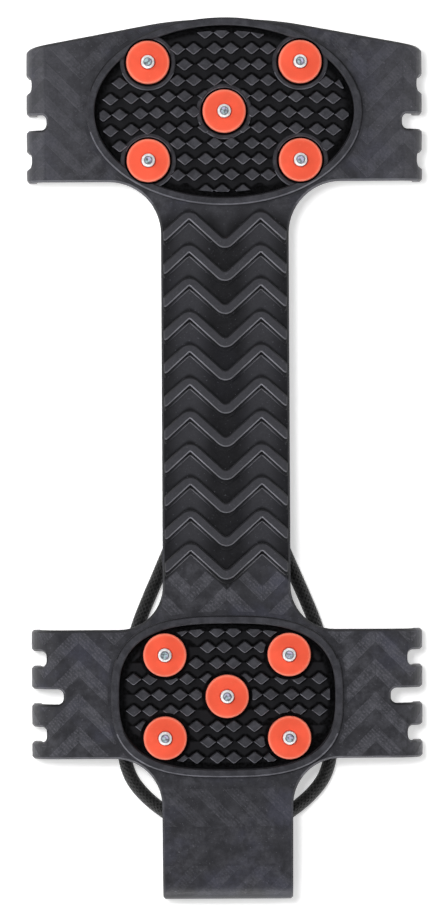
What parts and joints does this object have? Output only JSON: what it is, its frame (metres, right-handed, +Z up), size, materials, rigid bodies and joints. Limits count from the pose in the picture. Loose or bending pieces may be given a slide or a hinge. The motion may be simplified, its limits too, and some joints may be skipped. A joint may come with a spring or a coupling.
{
  "type": "ice cleat",
  "caption": "Studded rubber ice cleat: oval forefoot pad, ribbed shank and heel pad with slotted arms, a heel tab and an elastic cord loop, strapped under a boot for grip.",
  "frame": {"origin": "middle of the bounding box's base: the surface that the curled ends stand on, under mid-sole", "axes": "+Y towards the toe, +X to the right seen from the tread, +Z up out of the tread"},
  "size_m": [0.1308, 0.2912, 0.0216],
  "materials": {
    "rubber": "matte",
    "washer": "satin",
    "stud_steel": "bright plated",
    "carbide": "ground carbide",
    "cord_sheath": "braided",
    "ferrule": "crimped"
  },
  "bodies": {
    "sole": {"shank": "rubber", "heel_pad": "rubber", "heel_washer_1": "washer", "heel_washer_2": "washer", "heel_washer_3": "washer", "heel_washer_4": "washer", "heel_washer_5": "washer", "heel_stud_1": "stud_steel", "heel_stud_2": "stud_steel", "heel_stud_3": "stud_steel", "heel_stud_4": "stud_steel", "heel_stud_5": "stud_steel", "heel_tip_1": "carbide", "heel_tip_2": "carbide", "heel_tip_3": "carbide", "heel_tip_4": "carbide", "heel_tip_5": "carbide"},
    "forefoot": {"forefoot_pad": "rubber", "forefoot_washer_1": "washer", "forefoot_washer_2": "washer", "forefoot_washer_3": "washer", "forefoot_washer_4": "washer", "forefoot_washer_5": "washer", "forefoot_stud_1": "stud_steel", "forefoot_stud_2": "stud_steel", "forefoot_stud_3": "stud_steel", "forefoot_stud_4": "stud_steel", "forefoot_stud_5": "stud_steel", "forefoot_tip_1": "carbide", "forefoot_tip_2": "carbide", "forefoot_tip_3": "carbide", "forefoot_tip_4": "carbide", "forefoot_tip_5": "carbide"},
    "forefoot_arm_left": {"forefoot_arm_left": "rubber"},
    "forefoot_arm_right": {"forefoot_arm_right": "rubber"},
    "heel_arm_left": {"heel_arm_left": "rubber"},
    "heel_arm_right": {"heel_arm_right": "rubber"},
    "heel_tab": {"heel_tab": "rubber"},
    "cord_loop": {"heel_cord": "cord_sheath", "cord_ferrule": "ferrule"}
  },
  "joints": [
    {"name": "toe_flex", "type": "hinge", "parent": "sole", "child": "forefoot", "pos_m": [0, 0.08225, 0.0137], "axis": [-1, 0, 0], "range_deg": [-15, 50], "stiffness_Nm_per_rad": 0.5},
    {"name": "forefoot_arm_left_fold", "type": "hinge", "parent": "forefoot", "child": "forefoot_arm_left", "pos_m": [-0.0475, 0.11465, 0.0137], "axis": [0, -1, 0], "range_deg": [-20, 60], "stiffness_Nm_per_rad": 0.25},
    {"name": "forefoot_arm_right_fold", "type": "hinge", "parent": "forefoot", "child": "forefoot_arm_right", "pos_m": [0.0475, 0.11465, 0.0137], "axis": [0, 1, 0], "range_deg": [-20, 60], "stiffness_Nm_per_rad": 0.25},
    {"name": "heel_arm_left_fold", "type": "hinge", "parent": "sole", "child": "heel_arm_left", "pos_m": [-0.0403, -0.07835, 0.0137], "axis": [0, -1, 0], "range_deg": [-20, 60], "stiffness_Nm_per_rad": 0.25},
    {"name": "heel_arm_right_fold", "type": "hinge", "parent": "sole", "child": "heel_arm_right", "pos_m": [0.0403, -0.07835, 0.0137], "axis": [0, 1, 0], "range_deg": [-20, 60], "stiffness_Nm_per_rad": 0.25},
    {"name": "heel_tab_fold", "type": "hinge", "parent": "sole", "child": "heel_tab", "pos_m": [0, -0.10705, 0.0137], "axis": [1, 0, 0], "range_deg": [-10, 90], "stiffness_Nm_per_rad": 0.25},
    {"name": "cord_loop_turn", "type": "hinge", "parent": "heel_tab", "child": "cord_loop", "pos_m": [0, -0.1216, 0.0086], "axis": [1, 0, 0], "range_deg": [-90, 10]}
  ],
  "couplings": [
    {"joint": "cord_loop_turn", "follows": "heel_tab_fold", "ratio": -1}
  ]
}
